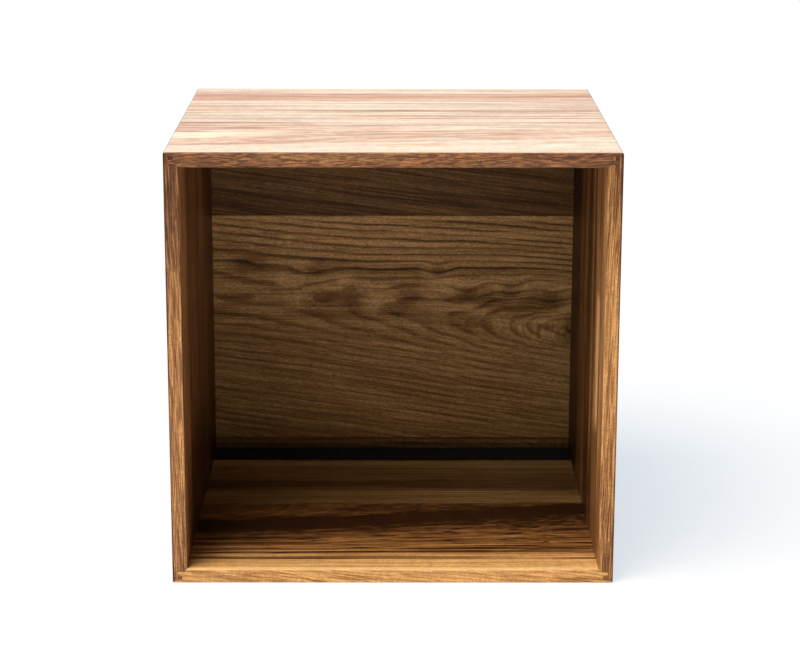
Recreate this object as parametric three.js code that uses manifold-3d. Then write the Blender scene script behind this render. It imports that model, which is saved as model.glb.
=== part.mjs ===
// Storage stand: an open-fronted case of solid hardwood that stands on its own base.
// Millimetres, +Z up. The origin is the middle of the base, +X is to the right, and the open front faces -Y.
// The top, bottom and sides are each glued up from two boards, meet in lock-mitre corners and are rebated
// at the rear for a back of three lapped boards, which is held by panel pins.

import * as THREE from "three";
import { mergeVertices, toCreasedNormals } from "three/addons/utils/BufferGeometryUtils.js";
import Module from "manifold-3d";

const wasm = await Module();
wasm.setup();

// Case
const CASE_WIDTH = 356;
const CASE_DEPTH = 331;
const CASE_HEIGHT = 352.5;
const BOARD_THICKNESS = 12;
const FRONT_BOARD_WIDTH = 163.5;
const GLUE_GAP = 0.1;
const CORNER_RADIUS = 1.8; // the four long outer corners
const ARRIS_RADIUS = 1.2; // the edges round the front and the rear
const ARC_STEPS = 3;

// Lock-mitre corner, measured from the inside corner outwards
const MITRE_RUN = 2.6; // plain mitre at the inner and at the outer corner
const FINGER_TIP = 7.9; // how far the flat board's finger reaches into the upright board
const FINGER_DRAFT = 0.3; // each finger narrows by this much on each face

// Rebate and back
const REBATE_DEPTH = 10;
const REBATE_WIDTH = 6;
const BACK_THICKNESS = 9.7;
const BACK_RIM_GAP = 0.5; // room round the back for the wood to move
const LOWER_JOINT_HEIGHT = 23;
const UPPER_JOINT_HEIGHT = 236.7;
const LAP_WIDTH = 5;
const LAP_GAP = 0.3;
const LAP_CHAMFER = 0.6;

// Strip on the floor, ahead of the back
const STRIP_WIDTH = 34;
const STRIP_THICKNESS = 2;
const STRIP_END_GAP = 0.5;
const STRIP_RADIUS = 0.7;
const ADHESIVE_GAP = 0.05;

// Panel pins
const PIN_LENGTH = 26;
const PIN_RADIUS = 0.7;
const PIN_POINT = 2.2;
const PIN_HEAD_RADIUS = 1.3;
const PIN_HEAD_HEIGHT = 0.8;
const PIN_HEAD_TAPER = 0.5;
const PIN_SUNK = 0.2; // the heads lie just under the rear face
const PIN_CLEARANCE = 0.3;
const PIN_SIDES = 10;
const PIN_MARGIN = 24; // from a board's edge to the first pin up its end
const PINS_PER_RAIL = 3; // along the top edge of the back, and along its bottom edge

const OVERSHOOT = 2; // cutters and blanks run this far past what they shape

// Derived
const INNER_WIDTH = CASE_WIDTH - 2 * BOARD_THICKNESS;
const INNER_HEIGHT = CASE_HEIGHT - 2 * BOARD_THICKNESS;
const MIDDLE_HEIGHT = CASE_HEIGHT / 2;
const FRONT_Y = -CASE_DEPTH / 2;
const REAR_Y = CASE_DEPTH / 2;
const GLUE_LINE_Y = FRONT_Y + FRONT_BOARD_WIDTH;
const SHOULDER_Y = REAR_Y - REBATE_DEPTH;
const BACK_LENGTH = INNER_WIDTH + 2 * (REBATE_WIDTH - BACK_RIM_GAP);
const BACK_LOW = BOARD_THICKNESS - REBATE_WIDTH + BACK_RIM_GAP;
const BACK_HIGH = CASE_HEIGHT - BACK_LOW;
const PIN_INSET = REBATE_WIDTH / 2; // the pins run down the middle of the rebate

const FINISHES = {
  pale_hardwood: { color: 0xc08a5c, roughness: 0.42, metalness: 0 },
  brown_hardwood: { color: 0x9c6a42, roughness: 0.45, metalness: 0 },
  dark_hardwood: { color: 0x7a4e2f, roughness: 0.48, metalness: 0 },
  back_hardwood: { color: 0x8f663d, roughness: 0.5, metalness: 0 },
  black_felt: { color: 0x14110f, roughness: 0.95, metalness: 0 },
  pin_steel: { color: 0x9b9893, roughness: 0.35, metalness: 1 },
};

// Frames for extrusions: where the shape's x, the shape's y and the run of the extrusion point.
const X = new THREE.Vector3(1, 0, 0);
const Y = new THREE.Vector3(0, 1, 0);
const Z = new THREE.Vector3(0, 0, 1);
const ALONG_DEPTH = new THREE.Matrix4().makeBasis(X, Z, Y.clone().negate());
const ALONG_LENGTH = new THREE.Matrix4().makeBasis(Y, Z, X);
const ALONG_THICKNESS = new THREE.Matrix4().makeBasis(X, Y, Z);

function solidFrom(geometry) {
  const bare = geometry.clone();
  bare.deleteAttribute("normal");
  bare.deleteAttribute("uv");
  const merged = mergeVertices(bare);
  return new wasm.Manifold(
    new wasm.Mesh({
      numProp: 3,
      vertProperties: merged.attributes.position.array,
      triVerts: new Uint32Array(merged.index.array),
    }),
  );
}

function geometryFrom(solid) {
  const { vertProperties, triVerts } = solid.getMesh();
  const geometry = new THREE.BufferGeometry();
  geometry.setAttribute("position", new THREE.BufferAttribute(vertProperties, 3));
  geometry.setIndex(new THREE.BufferAttribute(triVerts, 1));
  return toCreasedNormals(geometry, Math.PI / 5);
}

function pieceMesh(name, geometry, finish) {
  const mesh = new THREE.Mesh(geometry, new THREE.MeshStandardMaterial(FINISHES[finish]));
  mesh.name = name;
  return mesh;
}

function extrudeCentred(shape, length, frame) {
  const geometry = new THREE.ExtrudeGeometry(shape, {
    depth: length,
    curveSegments: ARC_STEPS,
    bevelEnabled: false,
  });
  geometry.translate(0, 0, -length / 2);
  geometry.applyMatrix4(frame);
  return geometry;
}

function extrudedSolid(shape, length, frame) {
  return solidFrom(extrudeCentred(shape, length, frame));
}

function boreAlongDepth(radius, fromY, toY, x, z) {
  const geometry = new THREE.CylinderGeometry(radius, radius, toY - fromY, PIN_SIDES);
  geometry.translate(x, (fromY + toY) / 2, z);
  return solidFrom(geometry);
}

function roundedRectangle(width, height, radius) {
  const outline = new THREE.Shape();
  const x = width / 2 - radius;
  const y = height / 2 - radius;
  outline.absarc(x, y, radius, 0, Math.PI / 2, false);
  outline.absarc(-x, y, radius, Math.PI / 2, Math.PI, false);
  outline.absarc(-x, -y, radius, Math.PI, 1.5 * Math.PI, false);
  outline.absarc(x, -y, radius, 1.5 * Math.PI, 2 * Math.PI, false);
  return outline;
}

// Moves an open path sideways to its left, keeping its bends sharp.
function offsetPath(path, distance) {
  const normals = path.slice(1).map((point, i) => {
    const along = point.clone().sub(path[i]).normalize();
    return new THREE.Vector2(-along.y, along.x);
  });
  return path.map((point, i) => {
    const before = normals[Math.max(i - 1, 0)];
    const after = normals[Math.min(i, normals.length - 1)];
    const both = before.clone().add(after);
    return point.clone().addScaledVector(both, distance / (1 + before.dot(after)));
  });
}

// The corner joint's line, from inside the inner corner to past the outer one: x runs outwards along the
// flat panel and y outwards through it. One cutter makes both panels, so the line is the same when turned
// end for end, and its fingers lie flat, so the sides are drawn on to the top and bottom sideways.
function lockMitreLine() {
  const t = BOARD_THICKNESS;
  const inward = [
    new THREE.Vector2(-OVERSHOOT, -OVERSHOOT),
    new THREE.Vector2(MITRE_RUN, MITRE_RUN),
    new THREE.Vector2(FINGER_TIP, MITRE_RUN + FINGER_DRAFT),
    new THREE.Vector2(FINGER_TIP, (t - FINGER_DRAFT) / 2),
  ];
  const outward = inward.map((point) => new THREE.Vector2(t - point.x, t - point.y)).reverse();
  return [...inward, ...outward];
}

// A panel's outline seen from the front, x along the panel and y outwards from its inner face. Its faces
// are left long in y, and both its ends are the joint's line, drawn back by half the glue.
function panelOutline(innerLength, upright) {
  const line = lockMitreLine();
  const end = upright
    ? offsetPath(line, -GLUE_GAP / 2).map((point) => new THREE.Vector2(point.y, point.x))
    : offsetPath(line, GLUE_GAP / 2);
  const rightEnd = end.map((point) => new THREE.Vector2(innerLength / 2 + point.x, point.y));
  const leftEnd = rightEnd.map((point) => new THREE.Vector2(-point.x, point.y)).reverse();
  return new THREE.Shape([...rightEnd, ...leftEnd]);
}

// A block with the finished case's outer face, long corners and end edges, for one panel to be cut from.
// It is what the front, side and plan outlines of the case have in common.
function easedBlock(length) {
  const tall = INNER_HEIGHT / 2;
  const front = roundedRectangle(length, tall, CORNER_RADIUS);
  const side = roundedRectangle(CASE_DEPTH, tall, ARRIS_RADIUS);
  const plan = roundedRectangle(length, CASE_DEPTH, ARRIS_RADIUS);
  return extrudedSolid(front, CASE_DEPTH, ALONG_DEPTH)
    .intersect(extrudedSolid(side, length, ALONG_LENGTH))
    .intersect(extrudedSolid(plan, tall, ALONG_THICKNESS))
    .translate([0, 0, BOARD_THICKNESS - tall / 2]);
}

// A board's edge section, x back through the case and y outwards from the inner face.
// innerEase is the radius of the inner edge at the front.
function boardSection(fromY, toY, innerEase) {
  const section = new THREE.Shape();
  section.moveTo(toY, 0);
  section.lineTo(toY, BOARD_THICKNESS);
  section.lineTo(fromY, BOARD_THICKNESS);
  if (innerEase > 0) {
    section.absarc(fromY + innerEase, innerEase, innerEase, Math.PI, 1.5 * Math.PI, false);
  } else {
    section.lineTo(fromY, 0);
  }
  section.closePath();
  return section;
}

// What is taken out of a panel along its rear edge, so that the back fits in flush.
function rebateBlock(innerLength) {
  const length = innerLength + 2 * REBATE_WIDTH;
  const depth = REBATE_DEPTH + OVERSHOOT;
  const height = REBATE_WIDTH + OVERSHOOT;
  const geometry = new THREE.BoxGeometry(length, depth, height);
  geometry.translate(0, SHOULDER_Y + depth / 2, REBATE_WIDTH - height / 2);
  return solidFrom(geometry);
}

// One carcass panel in its own frame: x along it, y back through the case, z outwards from its inner face.
function carcassPanel({ name, innerLength, upright, finishes, pinsAlong }) {
  const outerLength = innerLength + 2 * BOARD_THICKNESS;
  const outline = panelOutline(innerLength, upright);
  const jointed = extrudedSolid(outline, CASE_DEPTH + 2 * OVERSHOOT, ALONG_DEPTH);
  const blank = jointed.intersect(easedBlock(outerLength));
  const boardFromBlank = (fromY, toY, innerEase) =>
    blank.intersect(extrudedSolid(boardSection(fromY, toY, innerEase), outerLength, ALONG_LENGTH));

  const frontBoard = boardFromBlank(FRONT_Y, GLUE_LINE_Y - GLUE_GAP / 2, ARRIS_RADIUS);
  let rearBoard = boardFromBlank(GLUE_LINE_Y + GLUE_GAP / 2, REAR_Y, 0).subtract(rebateBlock(innerLength));
  const holeRadius = PIN_RADIUS + PIN_CLEARANCE;
  const holeEnd = REAR_Y - PIN_SUNK - PIN_LENGTH - PIN_CLEARANCE;
  pinsAlong.forEach((along) => {
    const hole = boreAlongDepth(holeRadius, holeEnd, SHOULDER_Y + OVERSHOOT, along, PIN_INSET);
    rearBoard = rearBoard.subtract(hole);
  });

  const panel = new THREE.Group();
  panel.add(pieceMesh(`${name}_front_board`, geometryFrom(frontBoard), finishes[0]));
  panel.add(pieceMesh(`${name}_rear_board`, geometryFrom(rearBoard), finishes[1]));
  return panel;
}

// A back board's edge section, x back from its front face and y up from its lower joint. A board with one
// above it has a tongue that stands up behind that board, and a board with one below is cut away for it.
function backSection(height, hasBoardBelow, hasBoardAbove) {
  const section = new THREE.Shape();
  const low = hasBoardBelow ? LAP_GAP / 2 : 0;
  const high = hasBoardAbove ? height - LAP_GAP / 2 : height;
  const middle = BACK_THICKNESS / 2;
  section.moveTo(LAP_CHAMFER, low);
  section.lineTo(0, low + LAP_CHAMFER);
  section.lineTo(0, high - LAP_CHAMFER);
  section.lineTo(LAP_CHAMFER, high);
  if (hasBoardAbove) {
    section.lineTo(middle + LAP_GAP / 2, high);
    section.lineTo(middle + LAP_GAP / 2, high + LAP_WIDTH);
    section.lineTo(BACK_THICKNESS, high + LAP_WIDTH);
  } else {
    section.lineTo(BACK_THICKNESS, high);
  }
  if (hasBoardBelow) {
    section.lineTo(BACK_THICKNESS, low + LAP_WIDTH);
    section.lineTo(middle - LAP_GAP / 2, low + LAP_WIDTH);
    section.lineTo(middle - LAP_GAP / 2, low);
  } else {
    section.lineTo(BACK_THICKNESS, low);
  }
  section.closePath();
  return section;
}

function backBoard({ name, low, high, pins }) {
  const section = backSection(high - low, low > BACK_LOW, high < BACK_HIGH);
  let solid = extrudedSolid(section, BACK_LENGTH, ALONG_LENGTH);
  const headY = BACK_THICKNESS - PIN_SUNK - PIN_HEAD_HEIGHT - PIN_CLEARANCE;
  const past = BACK_THICKNESS + OVERSHOOT;
  pins.forEach(({ x, z }) => {
    const shankHole = boreAlongDepth(PIN_RADIUS + PIN_CLEARANCE, -OVERSHOOT, past, x, z - low);
    const headHole = boreAlongDepth(PIN_HEAD_RADIUS + PIN_CLEARANCE, headY, past, x, z - low);
    solid = solid.subtract(shankHole).subtract(headHole);
  });
  const mesh = pieceMesh(name, geometryFrom(solid), "back_hardwood");
  mesh.position.set(0, REAR_Y - BACK_THICKNESS, low);
  return mesh;
}

// A panel pin, turned on an axis that runs along the depth: its point ahead and its flat head at the rear.
function backPin(name, { x, z }) {
  const headBase = PIN_LENGTH - PIN_HEAD_HEIGHT;
  const profile = [
    new THREE.Vector2(0, 0),
    new THREE.Vector2(PIN_RADIUS, PIN_POINT),
    new THREE.Vector2(PIN_RADIUS, headBase),
    new THREE.Vector2(PIN_HEAD_RADIUS, headBase + PIN_HEAD_TAPER),
    new THREE.Vector2(PIN_HEAD_RADIUS, PIN_LENGTH),
    new THREE.Vector2(0, PIN_LENGTH),
  ];
  const mesh = pieceMesh(name, new THREE.LatheGeometry(profile, PIN_SIDES), "pin_steel");
  mesh.position.set(x, REAR_Y - PIN_SUNK - PIN_LENGTH, z);
  return mesh;
}

function floorStrip() {
  const section = new THREE.Shape();
  const shoulder = STRIP_THICKNESS - STRIP_RADIUS;
  section.moveTo(0, 0);
  section.lineTo(STRIP_WIDTH, 0);
  section.absarc(STRIP_WIDTH - STRIP_RADIUS, shoulder, STRIP_RADIUS, 0, Math.PI / 2, false);
  section.absarc(STRIP_RADIUS, shoulder, STRIP_RADIUS, Math.PI / 2, Math.PI, false);
  section.closePath();
  const geometry = extrudeCentred(section, INNER_WIDTH - 2 * STRIP_END_GAP, ALONG_LENGTH);
  const mesh = pieceMesh("rear_floor_strip", geometry, "black_felt");
  mesh.position.set(0, SHOULDER_Y - STRIP_WIDTH, BOARD_THICKNESS + ADHESIVE_GAP);
  return mesh;
}

// Even places along a line from one end to the other, or its middle if there is only one.
function evenPlaces(count, from, to) {
  const step = count > 1 ? (to - from) / (count - 1) : 0;
  const first = count > 1 ? from : (from + to) / 2;
  return Array.from({ length: count }, (_, i) => first + i * step);
}

const railPinX = evenPlaces(PINS_PER_RAIL, -INNER_WIDTH / 3, INNER_WIDTH / 3);
const bottomRailZ = BOARD_THICKNESS - PIN_INSET;
const topRailZ = CASE_HEIGHT - bottomRailZ;
const endPinX = INNER_WIDTH / 2 + PIN_INSET;

const backBoards = [
  { name: "back_board_lower", low: BACK_LOW, high: LOWER_JOINT_HEIGHT, pinsPerEnd: 1, railZ: [bottomRailZ] },
  { name: "back_board_middle", low: LOWER_JOINT_HEIGHT, high: UPPER_JOINT_HEIGHT, pinsPerEnd: 3, railZ: [] },
  { name: "back_board_upper", low: UPPER_JOINT_HEIGHT, high: BACK_HIGH, pinsPerEnd: 2, railZ: [topRailZ] },
];
backBoards.forEach((board) => {
  board.endPinZ = evenPlaces(board.pinsPerEnd, board.low + PIN_MARGIN, board.high - PIN_MARGIN);
  const endPins = board.endPinZ.flatMap((z) => [-endPinX, endPinX].map((x) => ({ x, z })));
  const railPins = board.railZ.flatMap((z) => railPinX.map((x) => ({ x, z })));
  board.pins = [...endPins, ...railPins];
});
const endPinsUp = backBoards.flatMap((board) => board.endPinZ).map((z) => z - MIDDLE_HEIGHT);

// Each panel is laid flat in its own frame and turned about the depth into its place in the case.
const panels = [
  {
    name: "top",
    innerLength: INNER_WIDTH,
    upright: false,
    finishes: ["pale_hardwood", "pale_hardwood"],
    pinsAlong: railPinX,
    turn: 0,
    place: [0, 0, CASE_HEIGHT - BOARD_THICKNESS],
  },
  {
    name: "bottom",
    innerLength: INNER_WIDTH,
    upright: false,
    finishes: ["pale_hardwood", "brown_hardwood"],
    pinsAlong: railPinX,
    turn: Math.PI,
    place: [0, 0, BOARD_THICKNESS],
  },
  {
    name: "left_side",
    innerLength: INNER_HEIGHT,
    upright: true,
    finishes: ["brown_hardwood", "dark_hardwood"],
    pinsAlong: endPinsUp,
    turn: -Math.PI / 2,
    place: [-INNER_WIDTH / 2, 0, MIDDLE_HEIGHT],
  },
  {
    name: "right_side",
    innerLength: INNER_HEIGHT,
    upright: true,
    finishes: ["brown_hardwood", "dark_hardwood"],
    pinsAlong: endPinsUp.map((up) => -up),
    turn: Math.PI / 2,
    place: [INNER_WIDTH / 2, 0, MIDDLE_HEIGHT],
  },
];

const stand = new THREE.Group();
panels.forEach((panel) => {
  const group = carcassPanel(panel);
  group.rotation.y = panel.turn;
  group.position.set(...panel.place);
  stand.add(group);
});
backBoards.forEach((board) => stand.add(backBoard(board)));
backBoards
  .flatMap((board) => board.pins)
  .forEach((pin, i) => stand.add(backPin(`back_pin_${String(i + 1).padStart(2, "0")}`, pin)));
stand.add(floorStrip());

export default stand;
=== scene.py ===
from math import radians, tau

import bmesh
import bpy
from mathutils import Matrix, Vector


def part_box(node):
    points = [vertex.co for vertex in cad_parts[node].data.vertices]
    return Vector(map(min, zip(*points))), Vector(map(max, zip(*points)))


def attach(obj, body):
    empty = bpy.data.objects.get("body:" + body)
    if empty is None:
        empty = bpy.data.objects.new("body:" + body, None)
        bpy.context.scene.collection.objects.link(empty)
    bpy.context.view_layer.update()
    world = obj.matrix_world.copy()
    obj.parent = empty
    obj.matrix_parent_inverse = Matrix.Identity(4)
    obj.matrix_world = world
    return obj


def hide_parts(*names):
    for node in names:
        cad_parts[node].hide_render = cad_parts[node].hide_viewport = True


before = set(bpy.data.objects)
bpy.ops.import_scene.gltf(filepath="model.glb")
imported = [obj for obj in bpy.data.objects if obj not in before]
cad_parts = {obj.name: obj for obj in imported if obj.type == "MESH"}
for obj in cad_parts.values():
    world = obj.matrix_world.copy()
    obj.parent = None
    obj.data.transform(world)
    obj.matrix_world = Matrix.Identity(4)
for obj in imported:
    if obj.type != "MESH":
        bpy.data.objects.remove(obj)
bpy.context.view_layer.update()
MM = 0.001


# ------------------------------------------------------------------------------ bottom panel
# The base of the stand: two boards of streaky hardwood glued edge to edge, with the grain from side to
# side. The front board is honey coloured at its front and turns brown with near-black lines further in.
# Both are planed, jointed at the corners, eased along the edges and finished with a satin oil.

def add_node(tree, kind, settings=None, inputs=None):
    node = tree.nodes.new(kind)
    for name, value in (settings or {}).items():
        setattr(node, name, value)
    for socket, value in (inputs or {}).items():
        if isinstance(value, bpy.types.NodeSocket):
            tree.links.new(value, node.inputs[socket])
        else:
            node.inputs[socket].default_value = value
    return node


def calc(tree, operation, *values, clamp=False):
    settings = {"operation": operation, "use_clamp": clamp}
    return add_node(tree, "ShaderNodeMath", settings, dict(enumerate(values))).outputs[0]


def vector_calc(tree, operation, *values):
    settings = {"operation": operation}
    return add_node(tree, "ShaderNodeVectorMath", settings, dict(enumerate(values))).outputs[0]


def spread(tree, value, low, high, to_low=0.0, to_high=1.0):
    settings = {"interpolation_type": "SMOOTHSTEP"}
    places = {0: value, 1: low, 2: high, 3: to_low, 4: to_high}
    return add_node(tree, "ShaderNodeMapRange", settings, places).outputs[0]


def mix_colors(tree, factor, first, second, how="MIX"):
    settings = {"data_type": "RGBA", "blend_type": how}
    return add_node(tree, "ShaderNodeMix", settings, {0: factor, 6: first, 7: second}).outputs[2]


def blend(tree, amount, first, second):
    """first where amount is 0, and second where it is 1."""
    return calc(tree, "MULTIPLY_ADD", calc(tree, "SUBTRACT", second, first), amount, first)


def new_finish(name):
    """A new material, its node tree and its shader."""
    material = bpy.data.materials.new(name)
    material.use_nodes = True
    return material, material.node_tree, material.node_tree.nodes["Principled BSDF"]


def add_relief(tree, shader, height, strength, depth):
    inputs = {"Height": height, "Strength": strength, "Distance": depth}
    relief = add_node(tree, "ShaderNodeBump", None, inputs)
    tree.links.new(relief.outputs[0], shader.inputs["Normal"])


def add_object(name, data):
    """A new object at the origin, with this mesh, lamp or camera."""
    added = bpy.data.objects.new(name, data)
    bpy.context.scene.collection.objects.link(added)
    return added


def streaks(tree, place, per_metre, detail=2.0):
    """Noise drawn out along the grain, which is the first axis of place."""
    stretched = vector_calc(tree, "MULTIPLY", place, per_metre)
    inputs = {"Vector": stretched, "Scale": 1.0, "Detail": detail}
    return add_node(tree, "ShaderNodeTexNoise", None, inputs).outputs["Fac"]


def shader_group(name, inputs, outputs):
    tree = bpy.data.node_groups.new(name, "ShaderNodeTree")
    for socket, (kind, value) in inputs.items():
        made = tree.interface.new_socket(socket, in_out="INPUT", socket_type="NodeSocket" + kind)
        if value is not None:
            made.default_value = value
    for socket, kind in outputs.items():
        tree.interface.new_socket(socket, in_out="OUTPUT", socket_type="NodeSocket" + kind)
    given = tree.nodes.new("NodeGroupInput").outputs
    result = tree.nodes.new("NodeGroupOutput").inputs
    return tree, given, result


def grain_run_group():
    """Lets the grain wander: takes a place on a board, in metres along, across and through it, and gives
    the place in the tree that it was cut from. It drifts to one side over its length near Drift Line."""
    tree, given, result = shader_group(
        "grain_run",
        {
            "Place": ("Vector", None),
            "Seed": ("Float", 0.0),
            "Wander": ("Float", 0.004),
            "Ripple": ("Float", 0.0006),
            "Drift": ("Float", 0.0),
            "Drift Line": ("Float", 0.0),
            "Drift Reach": ("Float", 1.0),
        },
        {"Run": "Vector", "Figure": "Vector"},
    )
    shift = vector_calc(tree, "MULTIPLY", (3.1, 1.7, 2.3), given["Seed"])
    seeded = vector_calc(tree, "ADD", given["Place"], shift)
    slow = calc(tree, "SUBTRACT", streaks(tree, seeded, (4.5, 8.0, 8.0), 1.0), 0.5)
    quick = calc(tree, "SUBTRACT", streaks(tree, seeded, (32.0, 55.0, 55.0), 1.0), 0.5)
    wander = calc(tree, "MULTIPLY", slow, given["Wander"])
    wander = calc(tree, "MULTIPLY_ADD", quick, given["Ripple"], wander)
    along, across, _ = add_node(tree, "ShaderNodeSeparateXYZ", None, {0: given["Place"]}).outputs
    from_line = calc(tree, "ABSOLUTE", calc(tree, "SUBTRACT", across, given["Drift Line"]))
    near_line = spread(tree, from_line, 0.0, given["Drift Reach"], 1.0, 0.0)
    drift = calc(tree, "MULTIPLY", calc(tree, "MULTIPLY", along, given["Drift"]), near_line)
    aside = calc(tree, "ADD", wander, drift)
    sideways = add_node(tree, "ShaderNodeCombineXYZ", None, {1: aside, 2: aside}).outputs[0]
    tree.links.new(vector_calc(tree, "ADD", given["Place"], sideways), result["Run"])
    tree.links.new(vector_calc(tree, "ADD", seeded, sideways), result["Figure"])
    return tree


def hardwood_group():
    """The wood's colour, gloss and pores, from its figure and from its tone, which is how pale it is at a
    place: 0 is dark, 0.5 brown and 1 pale, before its streaks are added."""
    tree, given, result = shader_group(
        "hardwood",
        {
            "Figure": ("Vector", None),
            "Fineness": ("Float", 1.0),
            "Tone": ("Float", 0.5),
            "Banding": ("Float", 0.6),
            "Lines": ("Float", 0.5),
            "Line Width": ("Float", 0.03),
            "Fibres": ("Float", 0.25),
            "Pores": ("Float", 0.55),
            "Flecks": ("Float", 0.12),
            "Blush": ("Float", 0.0),
            "Pale": ("Color", (0.70, 0.40, 0.16, 1)),
            "Brown": ("Color", (0.34, 0.14, 0.05, 1)),
            "Dark": ("Color", (0.07, 0.025, 0.01, 1)),
        },
        {"Color": "Color", "Roughness": "Float", "Height": "Float"},
    )
    figure = given["Figure"]
    tone = given["Tone"]
    fineness = {0: 1.0, 1: given["Fineness"], 2: given["Fineness"]}
    drawn = add_node(tree, "ShaderNodeCombineXYZ", None, fineness).outputs[0]
    drawn = vector_calc(tree, "MULTIPLY", figure, drawn)
    layers = [
        (streaks(tree, drawn, (1.3, 38.0, 38.0)), 1.2),
        (streaks(tree, drawn, (4.0, 170.0, 170.0)), 1.6),
        (streaks(tree, drawn, (11.0, 560.0, 560.0)), 1.9),
        (streaks(tree, figure, (45.0, 1900.0, 1900.0), 1.0), 0.8),
    ]
    for layer, share in layers:
        strength = calc(tree, "MULTIPLY", given["Banding"], share)
        tone = calc(tree, "MULTIPLY_ADD", calc(tree, "SUBTRACT", layer, 0.5), strength, tone)

    # crisp fibres, about a millimetre wide and several centimetres long
    fibres = spread(tree, streaks(tree, figure, (13.0, 520.0, 520.0), 1.0), 0.38, 0.62, 0.5, -0.5)
    tone = calc(tree, "MULTIPLY_ADD", fibres, given["Fibres"], tone)
    low_tone = calc(tree, "MULTIPLY", tone, 2.0, clamp=True)
    high_tone = calc(tree, "MULTIPLY_ADD", tone, 2.0, -1.0, clamp=True)
    color = mix_colors(tree, low_tone, given["Dark"], given["Brown"])
    color = mix_colors(tree, high_tone, color, given["Pale"])

    # a pink cast that comes and goes in broad bands
    cast = spread(tree, streaks(tree, figure, (1.7, 27.0, 27.0), 1.0), 0.42, 0.6)
    cast = calc(tree, "MULTIPLY", cast, given["Blush"])
    color = mix_colors(tree, cast, color, (1.0, 0.74, 0.66, 1), "MULTIPLY")

    # thin dark lines, where a slow noise crosses its middle, and finer ones between them
    half_width = calc(tree, "MULTIPLY", given["Line Width"], 0.3)
    for per_metre, detail in (((1.6, 85.0, 85.0), 3.0), ((2.6, 190.0, 190.0), 1.0)):
        line_noise = streaks(tree, drawn, per_metre, detail)
        off_line = calc(tree, "ABSOLUTE", calc(tree, "SUBTRACT", line_noise, 0.5))
        line = spread(tree, off_line, half_width, given["Line Width"], 1.0, 0.0)
        patchy = vector_calc(tree, "MULTIPLY", per_metre, (1.9, 1.3, 1.3))
        shown = spread(tree, streaks(tree, drawn, patchy, 1.0), 0.36, 0.56)
        line = calc(tree, "MULTIPLY", calc(tree, "MULTIPLY", line, shown), given["Lines"])
        color = mix_colors(tree, line, color, given["Dark"])

    # open pores: short dark scratches along the grain
    cells = vector_calc(tree, "MULTIPLY", figure, (120.0, 950.0, 950.0))
    pore_cells = add_node(tree, "ShaderNodeTexVoronoi", None, {"Vector": cells, "Scale": 1.0})
    pore = spread(tree, pore_cells.outputs["Distance"], 0.12, 0.36, 1.0, 0.0)
    crowded = spread(tree, streaks(tree, figure, (12.0, 130.0, 130.0), 1.0), 0.4, 0.62, 0.25, 1.0)
    pore = calc(tree, "MULTIPLY", pore, crowded)
    color = mix_colors(tree, calc(tree, "MULTIPLY", pore, given["Pores"]), color, given["Dark"])

    # light and dark ripples across the grain, where the fibres tilt, and flecks a millimetre or two long
    ripple = streaks(tree, figure, (110.0, 70.0, 70.0), 1.0)
    shade = spread(tree, ripple, 0.3, 0.7, 0.94, 1.06)
    fleck = spread(tree, streaks(tree, figure, (420.0, 1000.0, 1000.0), 1.0), 0.34, 0.66, -1.0, 1.0)
    shade = calc(tree, "MULTIPLY_ADD", fleck, given["Flecks"], shade)
    color = vector_calc(tree, "MULTIPLY", color, shade)

    tree.links.new(color, result["Color"])
    tree.links.new(calc(tree, "MULTIPLY_ADD", pore, 0.2, 0.4), result["Roughness"])
    relief = calc(tree, "MULTIPLY_ADD", layers[2][0], 0.35, calc(tree, "MULTIPLY", pore, -1.0))
    tree.links.new(relief, result["Height"])
    return tree


grain_run = grain_run_group()
hardwood = hardwood_group()


DARKEST = -0.2


def bands_across(tree, across, low, high, stops):
    """How pale a board is across its width, and how strong its dark lines are there, from stops of
    (millimetres, paleness, line strength) between low and high. A fourth number is for growth rings.
    A paleness of 0 still has some brown streaks, and -0.2 has none."""
    ramp = add_node(tree, "ShaderNodeValToRGB")
    place = add_node(tree, "ShaderNodeMapRange", None, {0: across, 1: low * MM, 2: high * MM}).outputs[0]
    tree.links.new(place, ramp.inputs[0])
    elements = ramp.color_ramp.elements
    while len(elements) < len(stops):
        elements.new(0.5)
    for element, (at, paleness, lines, *rings) in zip(elements, stops):
        element.position = (at - low) / (high - low)
        stored = (paleness - DARKEST) / (1 - DARKEST)
        element.color = (stored, lines, rings[0] if rings else 0, 1)
    stored, lines, rings = add_node(tree, "ShaderNodeSeparateColor", None, {0: ramp.outputs[0]}).outputs
    return calc(tree, "MULTIPLY_ADD", stored, 1 - DARKEST, DARKEST), lines, rings


def mark_shown(tree, mark, across, along, figure):
    """Where a streak of another colour shows on a board. It is ragged and broken up, and fades out at the
    two ends of its reach."""
    half_width = mark["half_width"] * MM
    from_middle = calc(tree, "ABSOLUTE", calc(tree, "SUBTRACT", across, mark["behind"] * MM))
    ragged = calc(tree, "SUBTRACT", streaks(tree, figure, (14.0, 260.0, 260.0)), 0.5)
    from_middle = calc(tree, "MULTIPLY_ADD", ragged, 3 * half_width, from_middle)
    shown = spread(tree, from_middle, 0.5 * half_width, half_width, 1.0, 0.0)
    broken = streaks(tree, figure, (22.0, 380.0, 380.0), 1.0)
    shown = calc(tree, "MULTIPLY", shown, spread(tree, broken, 0.34, 0.5, 0.75, 1.0))
    start, end = [at * MM for at in mark["reach"]]
    start_fade, end_fade = [at * MM for at in mark["fade"]]
    begun = spread(tree, along, start - start_fade, start + start_fade)
    shown = calc(tree, "MULTIPLY", shown, begun)
    ended = spread(tree, along, end - end_fade, end + end_fade, 1.0, 0.0)
    return calc(tree, "MULTIPLY", shown, ended)


def oil_wood(tree, shader, wood, color, relief, specular):
    tree.links.new(color, shader.inputs["Base Color"])
    tree.links.new(wood["Roughness"], shader.inputs["Roughness"])
    add_relief(tree, shader, wood["Height"], relief, 0.2 * MM)
    shader.inputs["Specular IOR Level"].default_value = specular


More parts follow.
